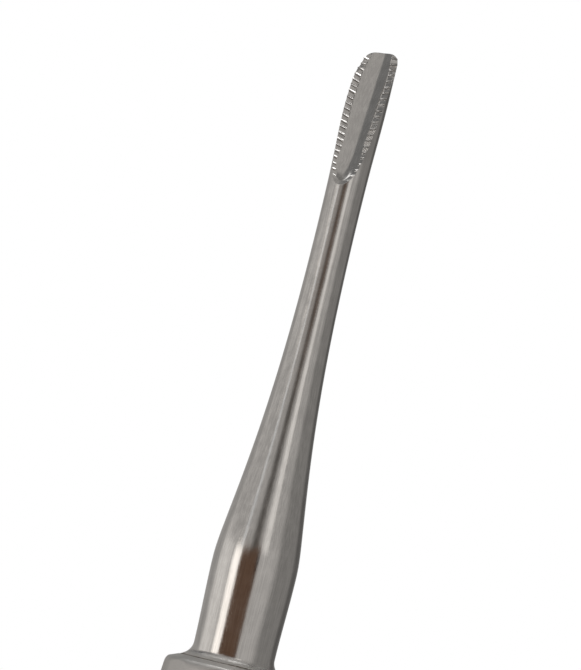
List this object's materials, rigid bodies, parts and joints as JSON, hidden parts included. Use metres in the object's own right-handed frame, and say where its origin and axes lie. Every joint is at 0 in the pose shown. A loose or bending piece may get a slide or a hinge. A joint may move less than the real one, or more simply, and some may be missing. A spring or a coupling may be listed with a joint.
{
  "type": "clay modeling tool",
  "caption": "Steel clay modeling gouge: serrated trough blade on a slim swelling neck, brazed into a hollow octagonal handle.",
  "frame": {"origin": "centre of the flat land on the butt of the handle, which the tool stands on", "axes": "+Z along the tool towards the nose of the gouge, -Y the way the gouge's trough opens, +X across the blade"},
  "size_m": [0.0132, 0.0132, 0.159],
  "materials": {
    "polished_steel": "satin polished stainless steel with fine lengthwise lines",
    "handle_steel": "satin stainless steel, brushed round the handle",
    "braze_filler": "dull grey brazing filler"
  },
  "bodies": {
    "root": {"gouge_shank": "polished_steel", "foot_braze_ring": "braze_filler", "bolster": "handle_steel", "front_seam_ring": "braze_filler", "handle_tube": "handle_steel", "rear_seam_ring": "braze_filler", "end_cap": "handle_steel"}
  },
  "joints": []
}
